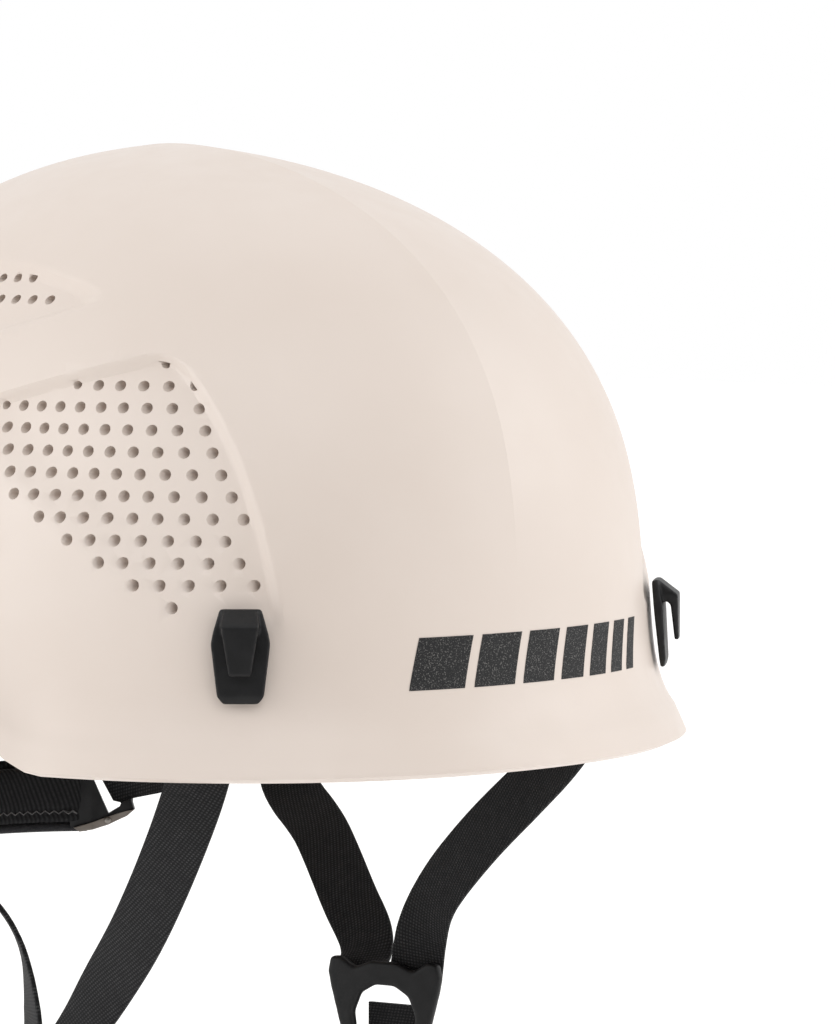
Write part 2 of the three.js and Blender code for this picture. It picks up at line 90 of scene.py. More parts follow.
# Camera, floor and light
studio = {
    "azimuth": -38, "elevation": 5.96,      # where the camera stands, in degrees
    "distance": 1.2, "lens": 156.9,         # metres, millimetres on a 36 mm sensor
    "aim": (0, 0, 0.0083),                  # the camera stands off this point
    "turn": (0.0555, 0.0382),               # look a little to the right of it and above it
    "floorDrop": 0.012, "floorSize": 12,    # metres
    "floorColour": "#f7f6f4", "floorGlow": 0.2, "worldStrength": 1.0,
    "lit": (0, 0, 0.05),                    # the lights point here
}
lights = {          # places and sizes in metres, powers in watts
    "softboxLeft": {"place": (-1.8, 0.65, 0.8), "size": (1.2, 1.5), "power": 12},
    "softboxRight": {"place": (1.5, -1.2, 1.0), "size": (1.2, 1.5), "power": 11},
    "softboxTop": {"place": (-0.5, -1.3, 1.5), "size": (1.2, 1.2), "power": 4},
}
flags = {"flagBehindCamera": {"place": (-1.15, -1.25, 0.22), "size": (2.0, 0.9)}}


def linear(hexColour):
    channels = [int(hexColour[i:i + 2], 16) / 255 for i in (1, 3, 5)]
    return [c / 12.92 if c <= 0.04045 else ((c + 0.055) / 1.055) ** 2.4 for c in channels] + [1]


def link(thing):
    bpy.context.scene.collection.objects.link(thing)
    return thing


def addCamera(form):
    azimuth, elevation = math.radians(form["azimuth"]), math.radians(form["elevation"])
    flat = math.cos(elevation)
    back = Vector((math.sin(azimuth) * flat, -math.cos(azimuth) * flat, math.sin(elevation)))
    right = Vector((math.cos(azimuth), math.sin(azimuth), 0))
    up = back.cross(right)
    look = right * form["turn"][0] + up * form["turn"][1] - back
    camera = link(bpy.data.objects.new("camera", bpy.data.cameras.new("camera")))
    camera.location = Vector(form["aim"]) + back * form["distance"]
    camera.rotation_euler = look.to_track_quat("-Z", "Y").to_euler()
    camera.data.lens = form["lens"]
    camera.data.clip_start = 0.05
    bpy.context.scene.camera = camera


def addLight(name, form):
    light = link(bpy.data.objects.new(name, bpy.data.lights.new(name, "AREA")))
    light.data.shape = "RECTANGLE"
    light.data.size, light.data.size_y = form["size"]
    light.data.energy = form["power"]
    light.location = form["place"]
    beam = Vector(studio["lit"]) - Vector(form["place"])
    light.rotation_euler = beam.to_track_quat("-Z", "Y").to_euler()


addCamera(studio)
for name, form in lights.items():
    addLight(name, form)
bpy.context.scene.view_settings.view_transform = "Standard"

world = bpy.data.worlds.new("studio")
world.use_nodes = True
world.node_tree.nodes["Background"].inputs["Color"].default_value = (1, 1, 1, 1)
world.node_tree.nodes["Background"].inputs["Strength"].default_value = studio["worldStrength"]
bpy.context.scene.world = world


# Materials
def addNode(tree, kind, inputs=None, **settings):
    node = tree.nodes.new(kind)
    for name, value in settings.items():
        setattr(node, name, value)
    for socket, value in (inputs or {}).items():
        if isinstance(value, bpy.types.NodeSocket):
            tree.links.new(value, node.inputs[socket])
        else:
            node.inputs[socket].default_value = value
    return node


def newMaterial(name, colour, roughness, shader=None):
    material = bpy.data.materials.new(name)
    material.use_nodes = True
    principled = material.node_tree.nodes["Principled BSDF"]
    principled.inputs["Base Color"].default_value = linear(colour)
    principled.inputs["Roughness"].default_value = roughness
    for socket, value in (shader or {}).items():
        principled.inputs[socket].default_value = value
    return material, material.node_tree, principled


def noiseOf(tree, millimetres, detail=3):
    place = addNode(tree, "ShaderNodeTexCoord")
    inputs = {"Vector": place.outputs["Object"], "Scale": 1000 / millimetres, "Detail": detail}
    return addNode(tree, "ShaderNodeTexNoise", inputs)


def spread(tree, value, low, high):      # a noise's middle half stretched to low..high
    inputs = {"Value": value, "From Min": 0.3, "From Max": 0.7, "To Min": low, "To Max": high}
    return addNode(tree, "ShaderNodeMapRange", inputs).outputs["Result"]


def twoColours(tree, factor, first, second):
    node = addNode(tree, "ShaderNodeMix", data_type="RGBA")
    tree.links.new(factor, node.inputs["Factor"])
    node.inputs["A"].default_value = linear(first)
    node.inputs["B"].default_value = linear(second)
    return node.outputs["Result"]


def roughen(tree, principled, height, distance, strength=1.0):     # distance in millimetres
    inputs = {"Height": height, "Distance": distance * mm, "Strength": strength}
    bump = addNode(tree, "ShaderNodeBump", inputs)
    tree.links.new(bump.outputs["Normal"], principled.inputs["Normal"])


# Injection-moulded ABS: satin and nearly even, with a faint orange-peel ripple in its highlights
def mouldedAbs():
    material, tree, principled = newMaterial("mouldedAbs", "#d2c5bb", 0.4, {"IOR": 1.53})
    cloud = noiseOf(tree, 60).outputs["Fac"]
    colour = twoColours(tree, spread(tree, cloud, 0, 1), "#d1c4ba", "#d5c9c0")
    tree.links.new(colour, principled.inputs["Base Color"])
    tree.links.new(spread(tree, noiseOf(tree, 9).outputs["Fac"], 0.36, 0.46), principled.inputs["Roughness"])
    roughen(tree, principled, noiseOf(tree, 1.6, 2).outputs["Fac"], 0.012)
    return material


# Moulded nylon with a spark-eroded grain: soft grey highlights on the edges, a dull face
def mouldedNylon(name="mouldedNylon", dark="#0e0e0f", light="#161617"):
    material, tree, principled = newMaterial(name, dark, 0.45, {"Specular IOR Level": 0.27})
    grain = noiseOf(tree, 0.35, 2).outputs["Fac"]
    colour = twoColours(tree, spread(tree, noiseOf(tree, 4).outputs["Fac"], 0, 1), dark, light)
    tree.links.new(colour, principled.inputs["Base Color"])
    tree.links.new(spread(tree, grain, 0.38, 0.55), principled.inputs["Roughness"])
    roughen(tree, principled, grain, 0.03)
    return material


def combine(tree, operation, first, second):
    return addNode(tree, "ShaderNodeMath", {0: first, 1: second}, operation=operation).outputs[0]


def bands(tree, place, direction, pitch):       # 0 to 1 and back once in every pitch along a direction
    turned = addNode(tree, "ShaderNodeVectorMath", {0: place, 1: direction}, operation="DOT_PRODUCT")
    phase = combine(tree, "MULTIPLY", turned.outputs["Value"], 2 * math.pi / pitch)
    wave = addNode(tree, "ShaderNodeMath", {0: phase}, operation="SINE")
    return addNode(tree, "ShaderNodeMapRange", {"Value": wave.outputs[0], "From Min": -1}).outputs["Result"]


# Woven polyester: ribs across the strap, crossed by a fine twill that catches grey light on each thread.
# rib and twill are in millimetres on the strap's own map, a little coarser than real so that they show.
def wovenPolyester(name, dark, light, rib, twill, height):
    shader = {"Sheen Weight": 0.06, "Specular IOR Level": 0.15}
    material, tree, principled = newMaterial(name, dark, 0.8, shader)
    place = addNode(tree, "ShaderNodeUVMap", uv_map="weave").outputs["UV"]
    threads = bands(tree, place, (0.25, 0.97, 0), twill)
    crossed = combine(tree, "MULTIPLY", bands(tree, place, (1, 0, 0), rib), threads)
    wear = spread(tree, noiseOf(tree, 2.2).outputs["Fac"], 0.5, 1.2)
    # painted highlight: each thread's crest is painted lighter, and the noise varies it at random like wear
    ridgeSheenAndWear = combine(tree, "MULTIPLY", crossed, wear)
    tree.links.new(twoColours(tree, ridgeSheenAndWear, dark, light), principled.inputs["Base Color"])
    roughen(tree, principled, crossed, height)
    return material


# Brushed knit over foam: dull, with a soft nap and small loops
def brushedKnit():
    material, tree, principled = newMaterial("brushedKnit", "#1a1a1b", 0.95,
                                             {"Sheen Weight": 0.1, "Specular IOR Level": 0.15})
    place = addNode(tree, "ShaderNodeTexCoord").outputs["Object"]
    loops = addNode(tree, "ShaderNodeTexVoronoi", {"Vector": place, "Scale": 1000 / 0.9}).outputs["Distance"]
    nap = noiseOf(tree, 0.4, 2).outputs["Fac"]
    both = combine(tree, "ADD", loops, nap)
    colour = twoColours(tree, spread(tree, both, 0, 1), "#131314", "#2c2c2e")
    tree.links.new(colour, principled.inputs["Base Color"])
    roughen(tree, principled, both, 0.25)
    return material


# Ribbed textile of the nape pad: slanting cords 1.15 mm apart, dull, with a painted highlight on each ridge
def ribbedKnit():
    material, tree, principled = newMaterial("ribbedKnit", "#1a1a1b", 0.9, {"Specular IOR Level": 0.15})
    place = addNode(tree, "ShaderNodeTexCoord").outputs["Object"]
    ridge = bands(tree, place, (0.95, 0, 0.32), 1.15 * mm)
    # painted highlight: each cord's ridge is painted paler, and the noise varies it at random
    ridgeSheenAndWear = combine(tree, "MULTIPLY", ridge, spread(tree, noiseOf(tree, 0.7).outputs["Fac"], 0.4, 1.2))
    tree.links.new(twoColours(tree, ridgeSheenAndWear, "#131314", "#2a2a2b"), principled.inputs["Base Color"])
    roughen(tree, principled, ridge, 0.12)
    return material


# Screen-printed ink: black, matt, with pale grains where the ink is thin
def screenInk():
    material, tree, principled = newMaterial("screenInk", "#1a1a1b", 0.6, {"Specular IOR Level": 0.3})
    grains = noiseOf(tree, 0.32, 2).outputs["Fac"]
    thin = addNode(tree, "ShaderNodeMapRange", {"Value": grains, "From Min": 0.56, "From Max": 0.7})
    colour = twoColours(tree, thin.outputs["Result"], "#171718", "#6a6866")
    tree.links.new(colour, principled.inputs["Base Color"])
    roughen(tree, principled, grains, 0.02)
    return material


# Nickel-plated steel: dull bright metal with fine scratches round it
def platedSteel():
    material, tree, principled = newMaterial("platedSteel", "#8f8a84", 0.32, {"Metallic": 1.0})
    scratches = noiseOf(tree, 0.5, 4).outputs["Fac"]
    tree.links.new(spread(tree, scratches, 0.25, 0.45), principled.inputs["Roughness"])
    return material


# Bonded nylon thread: a slightly shiny dark cord, lighter than the cloth that it crosses
def sewingThread():
    material, tree, principled = newMaterial("sewingThread", "#4a4a4b", 0.55, {"Specular IOR Level": 0.3})
    twist = noiseOf(tree, 0.25, 2).outputs["Fac"]
    colour = twoColours(tree, spread(tree, twist, 0, 1), "#39393a", "#6b6a69")
    tree.links.new(colour, principled.inputs["Base Color"])
    return material


absPlastic = mouldedAbs()
nylon = mouldedNylon()
greyNylon = mouldedNylon("greyNylon", "#6f6861", "#7f7871")
webbing = wovenPolyester("wovenPolyester", "#141415", "#3a3a3b", 0.8, 0.95, 0.1)
ribbedBand = wovenPolyester("ribbedBand", "#101011", "#323233", 1.5, 2.4, 0.3)
elastic = wovenPolyester("wovenElastic", "#141415", "#303031", 1.1, 0.8, 0.2)
knit = brushedKnit()
ribs = ribbedKnit()
ink = screenInk()
steel = platedSteel()
thread = sewingThread()


def paintedFloor():
    material, tree, principled = newMaterial("paintedFloor", studio["floorColour"], 0.9)
    wash = spread(tree, noiseOf(tree, 900).outputs["Fac"], 0, 1)
    tree.links.new(twoColours(tree, wash, "#f6f5f3", "#f9f8f7"), principled.inputs["Base Color"])
    principled.inputs["Emission Color"].default_value = (1, 1, 1, 1)
    principled.inputs["Emission Strength"].default_value = studio["floorGlow"]
    return material


def addFlag(name, form):        # a dark card that keeps light off the side that faces it
    bm = bmesh.new()
    bmesh.ops.create_grid(bm, x_segments=1, y_segments=1, size=0.5)
    bmesh.ops.scale(bm, vec=(*form["size"], 1), verts=bm.verts)
    turn = Vector(form["place"]).to_track_quat("Z", "Y").to_matrix().to_4x4()
    bmesh.ops.transform(bm, matrix=Matrix.Translation(form["place"]) @ turn, verts=bm.verts)
    mesh = bpy.data.meshes.new(name)
    bm.to_mesh(mesh)
    bm.free()
    mesh.materials.append(blackFoam())
    flag = link(bpy.data.objects.new(name, mesh))
    flag.visible_camera = False


def blackFoam():
    material, tree, principled = newMaterial("blackFoam", "#303031", 0.95)
    dust = spread(tree, noiseOf(tree, 300).outputs["Fac"], 0, 1)
    tree.links.new(twoColours(tree, dust, "#2c2c2d", "#343435"), principled.inputs["Base Color"])
    return material


def addFloor():
    bm = bmesh.new()
    bmesh.ops.create_grid(bm, x_segments=1, y_segments=1, size=studio["floorSize"] / 2)
    bmesh.ops.translate(bm, vec=(0, 0, cadBounds[0][2] - studio["floorDrop"]), verts=bm.verts)
    mesh = bpy.data.meshes.new("floor")
    bm.to_mesh(mesh)
    bm.free()
    mesh.materials.append(paintedFloor())
    link(bpy.data.objects.new("floor", mesh))


addFloor()
for name, form in flags.items():
    addFlag(name, form)
print("studio and materials ready")


# Shared mesh work
def addObject(bm, name, materials):
    bmesh.ops.scale(bm, vec=(mm, mm, mm), verts=bm.verts)
    mesh = bpy.data.meshes.new(name)
    bm.to_mesh(mesh)
    bm.free()
    for material in materials:
        mesh.materials.append(material)
    return link(bpy.data.objects.new(name, mesh))


def shade(mesh, sharpAngle):
    mesh.shade_smooth()
    mesh.set_sharp_from_angle(angle=math.radians(sharpAngle))


def addPiece(bm, name, materials, body=None, replaced=(), sharpAngle=38):
    piece = addObject(bm, name, materials)
    shade(piece.data, sharpAngle)
    if body:
        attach(piece, body)
    if replaced:
        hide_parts(*replaced)
    return piece


def bodyOf(node):
    return nodes[node]["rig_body"]


def nodeCopy(node):      # a CAD node's mesh, in millimetres, with its loose triangles joined up
    bm = bmesh.new()
    bm.from_mesh(nodes[node].data)
    bmesh.ops.scale(bm, vec=(1000, 1000, 1000), verts=bm.verts)
    bmesh.ops.remove_doubles(bm, verts=bm.verts, dist=0.002)
    return bm


def everything(bm):
    return bm.verts[:] + bm.edges[:] + bm.faces[:]


def edgesOver(bm, degrees):
    return [e for e in bm.edges if e.calc_face_angle(0) > math.radians(degrees)]


def roundEdges(bm, edges, offset, segments=3):
    bmesh.ops.bevel(bm, geom=edges, offset=offset, affect="EDGES", segments=segments, profile=0.5,
                    material=-1, clamp_overlap=True)


def relax(bm, passes):
    for _ in range(passes):
        bmesh.ops.smooth_vert(bm, verts=bm.verts, factor=0.5, use_axis_x=True, use_axis_y=True,
                              use_axis_z=True)


def voxelRemesh(piece, voxel):          # voxel in millimetres
    remesh = piece.modifiers.new("remesh", "REMESH")
    remesh.mode = "VOXEL"
    remesh.voxel_size = voxel * mm
    bakeModifiers(piece)


def bakeModifiers(piece):
    shown = piece.evaluated_get(bpy.context.evaluated_depsgraph_get())
    mesh = bpy.data.meshes.new_from_object(shown)
    piece.modifiers.clear()
    old, piece.data = piece.data, mesh
    bpy.data.meshes.remove(old)
    mesh.name = piece.name


def smooth(low, high, value):
    t = min(max((value - low) / (high - low), 0), 1)
    return t * t * (3 - 2 * t)


# Shell: a dome on an oval plan, with a flared lip and arches over the ears and the nape
shellForm = {
    "frontLength": 138.3, "rearLength": 140.2, "halfWidth": 110.6, "planPower": 2.19,
    "height": 152, "base": 8.3, "wall": 3,
    "lip": 6.5, "lipShare": 0.69, "fade": 8.5,       # the lip is straight, and the wall sweeps out to it
    "flare": 2.6, "peak": 7, "peakSpan": (-0.05, 0.85),          # the lip's reach, and more at the front
    "lean": 2, "frontLean": 0.26,                    # the wall's power, lower towards the front
    "crown": 2.16, "frontCrown": 1.42, "rearCrown": 0.28,        # the crown's power, flatter at the front
    "earArch": 20, "earSpan": (-74, -42), "napeArch": 6, "napeSpan": (40, 84),
    "crease": 1.3, "creaseWidth": 11, "creaseFoot": 0.35, "creaseSpan": (40, 88),
    "columns": 192, "rows": 64, "rimRound": 1.1,
}


def planRadius(theta):
    length = shellForm["frontLength"] if math.cos(theta) > 0 else shellForm["rearLength"]
    power = shellForm["planPower"]
    along = abs(math.cos(theta)) / length
    across = abs(math.sin(theta)) / shellForm["halfWidth"]
    return (along ** power + across ** power) ** (-1 / power)


def rimHeight(theta):
    y = -planRadius(theta) * math.cos(theta)
    rise = shellForm["earArch"] * smooth(*shellForm["earSpan"], y)
    return rise - (shellForm["earArch"] - shellForm["napeArch"]) * smooth(*shellForm["napeSpan"], y)


def flareAt(theta, rise):        # rise is the height above the lower edge
    reach = shellForm["flare"] + shellForm["peak"] * smooth(*shellForm["peakSpan"], math.cos(theta))
    share = shellForm["lipShare"]
    if rise < shellForm["lip"]:
        return reach * (1 - (1 - share) * rise / shellForm["lip"])
    return reach * share * math.exp(-(rise - shellForm["lip"]) / shellForm["fade"])


def domePoint(theta, z):
    front = max(math.cos(theta), 0) ** 2
    rear = max(-math.cos(theta), 0) ** 2
    lean = shellForm["lean"] - shellForm["frontLean"] * front
    crown = shellForm["crown"] + shellForm["frontCrown"] * front - shellForm["rearCrown"] * rear
    rise = max(z - shellForm["base"], 0) / (shellForm["height"] - shellForm["base"])
    fill = max(1 - rise ** crown, 0) ** (1 / lean)
    flare = flareAt(theta, z - rimHeight(theta)) if rise < 0.5 else 0
    radius = planRadius(theta) * fill + flare
    return Vector((radius * math.sin(theta), -radius * math.cos(theta), z))


def domeNormal(theta, z):
    if z > shellForm["height"] - 0.3:
        return Vector((0, 0, 1))
    step = min(0.5, (shellForm["height"] - z) / 3)
    around = domePoint(theta + 0.01, z) - domePoint(theta - 0.01, z)
    upward = domePoint(theta, z + step) - domePoint(theta, z - step)
    return around.cross(upward).normalized()


def bearing(point):
    return math.atan2(point.x, -point.y)


def domeAt(axis, value, z, low, high):      # the bearing between low and high where x or y has that value
    falling = domePoint(low, z)[axis] > domePoint(high, z)[axis]
    for _ in range(26):
        middle = (low + high) / 2
        if (domePoint(middle, z)[axis] > value) == falling:
            low = middle
        else:
            high = middle
    return (low + high) / 2


# The perforated panels: outlines in Y and Z on each side, sunk into the dome outside a leaning plane
panelForm = {
    "depth": 2.2, "side": 61, "sideFoot": 51.3, "sideLean": 0.105, "corner": 6, "cuts": 3, "middle": 10,
    "slope": {"upper": 3.4, "front": 2.4, "rear": 2.4},       # how wide the sloping wall of each panel is
    "upper": [(-66, 113), (10, 91), (86, 113), (90, 150), (-70, 150)],
    "front": [(-86, 101.5), (-27, 84.8), (-56, 67), (-103, 38.5), (-125, 30), (-125, 101.5)],
    "fade": 15,                   # the front panel's floor rises to the dome over this along its lower edge
    "lowerEdge": ((-27, 84.8), (-103, 38.5)),
}


def tangentPlanes(first, second, radius):      # planes that round the corner between two planes
    (n1, d1), (n2, d2) = first, second
    cosine = n1.dot(n2)
    if cosine > 0.9 or cosine < -0.9:
        return []
    a = ((d1 - radius) - (d2 - radius) * cosine) / (1 - cosine ** 2)
    b = ((d2 - radius) - (d1 - radius) * cosine) / (1 - cosine ** 2)
    centre = n1 * a + n2 * b
    planes = []
    for k in range(1, panelForm["cuts"] + 1):
        share = k / (panelForm["cuts"] + 1)
        normal = n1.lerp(n2, share).normalized()
        planes.append((normal, centre.dot(normal) + radius))
    return planes


def panelPlanes(outline, side):
    middle = Vector((0, sum(y for y, _ in outline) / len(outline), sum(z for _, z in outline) / len(outline)))
    edges = []
    for (y1, z1), (y2, z2) in zip(outline, outline[1:] + outline[:1]):
        normal = Vector((0, z2 - z1, y1 - y2)).normalized()
        distance = normal.dot(Vector((0, y1, z1)))
        if normal.dot(middle) > distance:
            normal, distance = -normal, -distance
        edges.append((normal, distance))
    lean = panelForm["sideLean"]
    sidePlane = (Vector((-side, 0, lean)).normalized(),
                 (lean * panelForm["sideFoot"] - panelForm["side"]) / math.hypot(1, lean))
    rounds = []
    for first, second in zip(edges, edges[1:] + edges[:1]):
        rounds += tangentPlanes(first, second, panelForm["corner"])
    for edge in edges:
        rounds += tangentPlanes(sidePlane, edge, panelForm["corner"])
    return [sidePlane] + edges + rounds


def reversedOutline(outline):
    return [(2 * panelForm["middle"] - y, z) for y, z in outline]


panels = []
for side in (-1, 1):
    for name, outline in (("upper", panelForm["upper"]), ("front", panelForm["front"]),
                          ("rear", reversedOutline(panelForm["front"]))):
        panels.append({"name": name, "side": side, "planes": panelPlanes(outline, side)})


def sidewaysBy(panel, point):        # how far a point lies outside the leaning plane, along X
    leaned = panelForm["sideLean"] * (point.z - panelForm["sideFoot"])
    return panel["side"] * point.x - panelForm["side"] - leaned


def insideBy(panel, point):
    return min(distance - normal.dot(point) for normal, distance in panel["planes"])


def lowerEdgeRise(panel, point):       # how far a point of the front or rear panel lies above its lower edge
    (y1, z1), (y2, z2) = panelForm["lowerEdge"]
    y = point.y if panel["name"] == "front" else 2 * panelForm["middle"] - point.y
    length = math.hypot(y2 - y1, z2 - z1)
    return ((point.z - z1) * (y1 - y2) - (y - y1) * (z1 - z2)) / length


def sinkAt(point):
    for panel in panels:
        if sidewaysBy(panel, point) < 0:
            continue
        inside = insideBy(panel, point)
        if inside <= 0:
            continue
        depth = panelForm["depth"] * smooth(0, panelForm["slope"][panel["name"]], inside)
        if panel["name"] != "upper":
            depth *= smooth(0, panelForm["fade"], lowerEdgeRise(panel, point))
        return depth
    return 0


def creaseAt(point):          # a raised fold along the middle that fades low down
    fold = math.exp(-abs(point.x) / shellForm["creaseWidth"]) - shellForm["creaseFoot"]
    return shellForm["crease"] * fold * smooth(*shellForm["creaseSpan"], point.z)


def cutPanels(bm):
    for panel in panels:
        region = [f for f in bm.faces if sidewaysBy(panel, f.calc_center_median()) > -4]
        for k in range(4):
            inset = panelForm["slope"][panel["name"]] * k / 3
            for normal, distance in panel["planes"]:
                flat = distance - inset
                geom = list({item for f in region for item in (*f.verts, *f.edges)}) + region
                cut = bmesh.ops.bisect_plane(bm, geom=geom, dist=1e-5, plane_co=normal * flat,
                                             plane_no=normal)
                region = [f for f in cut["geom"] if isinstance(f, bmesh.types.BMFace)
                          and normal.dot(f.calc_center_median()) < flat]


def makeShellSurface():
    rows, columns = shellForm["rows"], shellForm["columns"]
    lipRows = [0, 1.6, 3.3, 5, shellForm["lip"], 8.2, 10.4, 13]
    bm = bmesh.new()
    bmesh.ops.create_uvsphere(bm, u_segments=columns, v_segments=2 * rows, radius=1)
    bmesh.ops.delete(bm, geom=[f for f in bm.faces if f.calc_center_median().z < 0], context="FACES")
    for vert in bm.verts:
        theta = bearing(vert.co)
        turn = math.asin(min(max(vert.co.z, 0), 1))
        row = round(turn / (math.pi / 2) * rows)
        rim = rimHeight(theta)
        if row < len(lipRows):
            z = rim + lipRows[row]
        else:
            share = (row - len(lipRows) + 1) / (rows - len(lipRows) + 1)
            low = rim + lipRows[-1]
            z = low + (shellForm["height"] - low) * math.sin(share * math.pi / 2)
        vert.co = domePoint(theta, z) if row < rows else Vector((0, 0, shellForm["height"]))
    cutPanels(bm)
    for vert in bm.verts:
        theta, z = bearing(vert.co), vert.co.z
        onDome = domePoint(theta, z) if z < shellForm["height"] - 1.5 else vert.co.copy()
        vert.co = onDome + domeNormal(theta, z) * (creaseAt(onDome) - sinkAt(onDome))
    bmesh.ops.recalc_face_normals(bm, faces=bm.faces)
    return bm


# Perforations: slanting rows of 3 mm holes, drilled sideways
holeForm = {
    "radius": 1.5, "small": 1.2, "chamfer": 0.26, "segments": 12,
    "firstRow": 97.5, "rowPitch": 5.24, "firstY": -41.35, "rowShift": -3.17,
    "pitch": 5.46, "pitchLoss": 0.035,                               # each row down is a little tighter
    "margin": {"upper": 3.4, "front": 2.9, "rear": 2.9},             # clear of a panel's upper edges
    "sideMargin": {"upper": 3.7, "front": 2.8, "rear": 2.8},
    "lowerMargin": -0.4, "lastRow": (42, -103.1),                    # the last row has one hole
    "upperFirst": 112, "upperLowMargin": 8,                          # rows below that height keep clear
    "shortRow": (55.4, -110),                                        # this row stops early
    "upperY": -43.8, "upperEnd": -46, "upperPitch": 5.9, "upperZ": 112.6,
    "rows": 12, "upperRows": range(-4, 6), "upperShift": 0.81, "reach": 24,      # holes each way in a row
    "zSpan": (30, 146), "ySpan": 128, "lowBand": 9, "smallUnder": 0.7,
}


def rowHoles(y, z, pitch, count):
    return [(y + pitch * k, z) for k in range(-count, count)]


def frontHoles():
    places = []
    for row in range(holeForm["rows"]):
        y = holeForm["firstY"] + holeForm["rowShift"] * row
        pitch = holeForm["pitch"] - holeForm["pitchLoss"] * row
        places += rowHoles(y, holeForm["firstRow"] - holeForm["rowPitch"] * row, pitch, holeForm["reach"])
    lowZ, lowY = holeForm["lastRow"]
    shortZ, shortY = holeForm["shortRow"]
    return [(y, z) for y, z in places if (z > lowZ or y > lowY) and (abs(z - shortZ) > 1 or y > shortY)]


def upperHoles():
    places = []
    pitch = holeForm["upperPitch"]
    for row in holeForm["upperRows"]:
        y = holeForm["upperY"] + row * pitch * holeForm["upperShift"]
        places += rowHoles(y, holeForm["upperZ"] + holeForm["rowPitch"] * row, pitch, holeForm["reach"])
    return [(y, z) for y, z in places if holeForm["upperEnd"] < y < panelForm["middle"]]


def sidePoint(y, z, side):
    low, high = (0.05, math.pi - 0.05) if side > 0 else (-math.pi + 0.05, -0.05)
    return domePoint(domeAt(1, y, z, low, high), z)


def holePlaces():
    places = []
    lowZ, highZ = holeForm["zSpan"]
    for panel in panels:
        lattice = upperHoles() if panel["name"] == "upper" else frontHoles()
        if panel["name"] == "upper":
            lattice = lattice + reversedOutline(lattice)
        elif panel["name"] == "rear":
            lattice = reversedOutline(lattice)
        for y, z in lattice:
            if not lowZ < z < highZ or abs(y) > holeForm["ySpan"]:
                continue
            point = sidePoint(y, z, panel["side"])
            margin = holeForm["margin"][panel["name"]]
            if panel["name"] == "upper" and z < holeForm["upperFirst"]:
                margin = holeForm["upperLowMargin"]
            if panel["name"] != "upper" and lowerEdgeRise(panel, point) < holeForm["lowBand"]:
                margin = holeForm["lowerMargin"]
            sideways = sidewaysBy(panel, point) - holeForm["sideMargin"][panel["name"]]
            upright = min(distance - normal.dot(point) for normal, distance in panel["planes"]
                          if abs(normal.x) < 0.3)
            spare = min(upright - margin, sideways)
            if spare > 0:
                radius = holeForm["small"] if spare < holeForm["smallUnder"] else holeForm["radius"]
                places.append((point, radius, panel["side"]))
    return places


def makeDrill():      # a unit drill along X: its shank's foot, the start of its chamfer and its head
    bm = bmesh.new()
    bmesh.ops.create_cone(bm, cap_ends=True, segments=holeForm["segments"], radius1=1, radius2=1, depth=2,
                          matrix=Matrix.Translation((1, 0, 0)) @ Matrix.Rotation(math.pi / 2, 4, "Y"))
    bmesh.ops.bisect_plane(bm, geom=everything(bm), plane_co=(1, 0, 0), plane_no=(1, 0, 0))
    mesh = bpy.data.meshes.new("drill")
    bm.to_mesh(mesh)
    bm.free()
    return mesh


def makeDrills(places):
    drill = makeDrill()
    levels = (-9, -holeForm["chamfer"], holeForm["chamfer"] + 0.15)      # depths along X
    grows = (0, 0, 2 * holeForm["chamfer"] + 0.15)
    bm = bmesh.new()
    for point, radius, side in places:
        normal = domeNormal(bearing(point), point.z)
        sunk = sinkAt(point) / abs(normal.x)
        across = normal.cross(Vector((0, 0, 1))).normalized()
        upward = across.cross(normal)
        first = len(bm.verts)
        bm.from_mesh(drill)
        bm.verts.ensure_lookup_table()
        for vert in bm.verts[first:]:
            level = int(vert.co.x + 0.5)
            ringSpot = (across * vert.co.y + upward * vert.co.z) * (radius + grows[level])
            vert.co = point + ringSpot + Vector((side * (levels[level] - sunk), 0, 0))
    bmesh.ops.reverse_faces(bm, faces=bm.faces)
    return bm


def makeShell():
    shell = addObject(makeShellSurface(), "helmet_shell", [absPlastic])
    solid = shell.modifiers.new("wall", "SOLIDIFY")
    solid.thickness = shellForm["wall"] * mm
    solid.offset = -1
    places = holePlaces()
    drills = addObject(makeDrills(places), "drills", [absPlastic])
    holes = shell.modifiers.new("holes", "BOOLEAN")
    holes.operation, holes.solver, holes.object = "DIFFERENCE", "MANIFOLD", drills
    bakeModifiers(shell)
    bpy.data.objects.remove(drills)
    bm = bmesh.new()
    bm.from_mesh(shell.data)
    roundEdges(bm, [e for e in bm.edges if isRimEdge(e)], shellForm["rimRound"] * mm)
    bmesh.ops.dissolve_degenerate(bm, edges=bm.edges, dist=0.001 * mm)
    bmesh.ops.recalc_face_normals(bm, faces=bm.faces)
    bm.to_mesh(shell.data)
    bm.free()
    shell.data.validate()
    shade(shell.data, 32)
    foldEnds = [abs(vert.co.x) < 0.02 * mm for vert in shell.data.vertices]
    for edge in shell.data.edges:                 # the fold along the middle is crisp
        if all(foldEnds[k] for k in edge.vertices):
            edge.use_edge_sharp = True
    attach(shell, "helmet")
    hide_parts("shell")
    print("shell:", len(shell.data.polygons), "faces,", len(places), "holes")


def isRimEdge(edge):        # an edge of the flat band between the outer and the inner wall
    ends = [v.co / mm for v in edge.verts]
    low = all(end.z < rimHeight(bearing(end)) + 1.2 for end in ends)
    return low and edge.calc_face_angle(0) > math.radians(50)


makeShell()


# Print: a row of slanting bars that get narrower, in black ink on the front
printForm = {
    "left": -33, "foot": 19.4, "height": 12.6, "gap": 2.8, "slant": 3.5,
    "widths": (15, 12.5, 10.5, 8.5, 7, 5.5, 4), "proud": 0.12, "thick": 0.2, "bearing": 1.2,
}


